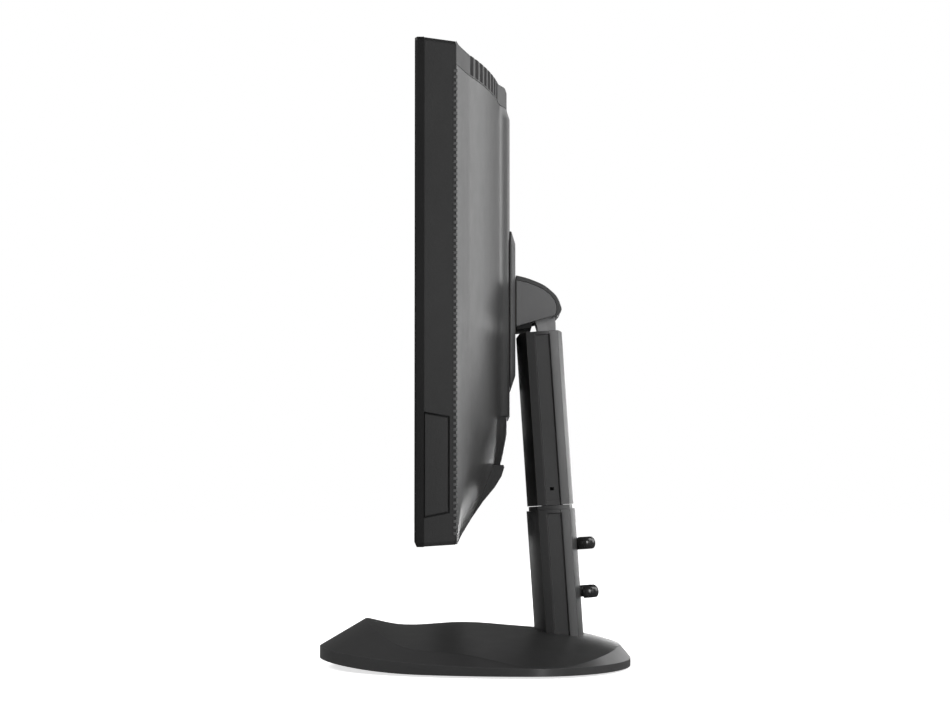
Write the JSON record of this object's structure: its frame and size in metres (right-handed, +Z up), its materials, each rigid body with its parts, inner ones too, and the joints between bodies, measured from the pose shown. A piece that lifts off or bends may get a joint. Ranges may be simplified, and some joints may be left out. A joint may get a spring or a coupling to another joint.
{
  "type": "computer monitor",
  "caption": "Flat widescreen computer monitor on a leaning height-adjustable column with tilt hinge, cable hooks and an egg-shaped swivel base.",
  "frame": {"origin": "middle of the overall footprint, on the table surface", "axes": "+X along the screen's width, the screen faces -Y, +Z up"},
  "size_m": [0.547, 0.237, 0.439],
  "materials": {
    "bezel_plastic": "satin black moulded",
    "band_plastic": "fine textured dark grey",
    "rear_plastic": "coarse textured mid grey",
    "vent_plastic": "smooth mid grey",
    "stand_plastic": "satin dark grey",
    "hinge_plastic": "satin dark grey",
    "hook_plastic": "glossy black",
    "neck_metal": "bead blasted",
    "steel": "zinc plated",
    "slide_steel": "black oxide",
    "screw_steel": "plated",
    "pad_plastic": "natural acetal",
    "bronze": "sintered",
    "rubber": "matte",
    "screen": "anti-glare film",
    "acrylic": "clear",
    "board": "lacquered board",
    "socket_plastic": "moulded black"
  },
  "bodies": {
    "turntable": {"turntable_plate": "steel", "rubber_feet": "rubber", "swivel_ring": "pad_plastic", "swivel_stud": "screw_steel"},
    "base": {"base_cover": "stand_plastic", "base_weight_plate": "steel", "base_screws": "screw_steel", "mast_foot": "steel", "mast": "slide_steel", "mast_pad": "pad_plastic", "lower_column_front": "stand_plastic", "lower_column_rear": "stand_plastic", "lower_column_cap": "stand_plastic", "cable_hook_upper": "hook_plastic", "cable_hook_lower": "hook_plastic"},
    "slide": {"middle_slide": "slide_steel", "slide_pads": "pad_plastic"},
    "upper": {"carriage": "slide_steel", "upper_column_front": "stand_plastic", "upper_column_rear": "stand_plastic", "column_cap": "stand_plastic", "spring_drum": "pad_plastic", "lift_spring": "screw_steel", "neck": "neck_metal"},
    "tilt": {"tilt_shaft": "screw_steel", "tilt_nut": "screw_steel", "tilt_washers": "bronze", "tilt_spring": "screw_steel", "tilt_bracket": "steel", "tilt_cover": "hinge_plastic", "pivot_shaft": "screw_steel", "pivot_nut": "screw_steel", "pivot_spring_washer": "screw_steel"},
    "head": {"mount_plate": "steel", "mount_screws": "screw_steel", "friction_washer": "bronze", "plate_cover": "hinge_plastic", "rear_cover": "rear_plastic", "vent_panel": "vent_plastic", "connector_hood": "rear_plastic", "mid_frame": "band_plastic", "side_blank_cover": "band_plastic", "cover_screws": "screw_steel", "front_bezel": "bezel_plastic", "button_board": "board", "lcd_panel": "screen", "light_guide": "acrylic", "panel_chassis": "steel", "mount_frame": "steel", "main_board": "board", "power_board": "board", "board_shield": "steel", "socket_bracket": "steel", "video_sockets": "socket_plastic", "power_inlet": "socket_plastic"},
    "menu_button_1": {"menu_button_1": "bezel_plastic"},
    "menu_button_2": {"menu_button_2": "bezel_plastic"},
    "menu_button_3": {"menu_button_3": "bezel_plastic"},
    "menu_button_4": {"menu_button_4": "bezel_plastic"},
    "power_button": {"power_button": "bezel_plastic"}
  },
  "joints": [
    {"name": "base_swivel", "type": "hinge", "parent": "turntable", "child": "base", "pos_m": [0, 0.01, 0.0042], "axis": [0, 0, 1], "range_deg": [-45, 45]},
    {"name": "column_lift", "type": "slide", "parent": "base", "child": "upper", "axis": [0, -0.0663, 0.9978], "range_m": [0, 0.11]},
    {"name": "slide_follow", "type": "slide", "parent": "base", "child": "slide", "axis": [0, -0.0663, 0.9978], "range_m": [0, 0.055]},
    {"name": "head_tilt", "type": "hinge", "parent": "upper", "child": "tilt", "pos_m": [0, 0.052, 0.274], "axis": [-1, 0, 0], "range_deg": [-2, 20]},
    {"name": "head_pivot", "type": "hinge", "parent": "tilt", "child": "head", "pos_m": [0, 0.03, 0.27], "axis": [0, 1, 0], "range_deg": [0, 20]},
    {"name": "menu_button_1_press", "type": "slide", "parent": "head", "child": "menu_button_1", "axis": [0, 1, 0], "range_m": [0, 0.0007], "stiffness_N_per_m": 400},
    {"name": "menu_button_2_press", "type": "slide", "parent": "head", "child": "menu_button_2", "axis": [0, 1, 0], "range_m": [0, 0.0007], "stiffness_N_per_m": 400},
    {"name": "menu_button_3_press", "type": "slide", "parent": "head", "child": "menu_button_3", "axis": [0, 1, 0], "range_m": [0, 0.0007], "stiffness_N_per_m": 400},
    {"name": "menu_button_4_press", "type": "slide", "parent": "head", "child": "menu_button_4", "axis": [0, 1, 0], "range_m": [0, 0.0007], "stiffness_N_per_m": 400},
    {"name": "power_button_press", "type": "slide", "parent": "head", "child": "power_button", "axis": [0, 1, 0], "range_m": [0, 0.0007], "stiffness_N_per_m": 400}
  ],
  "couplings": [
    {"joint": "slide_follow", "follows": "column_lift", "ratio": 0.5}
  ]
}
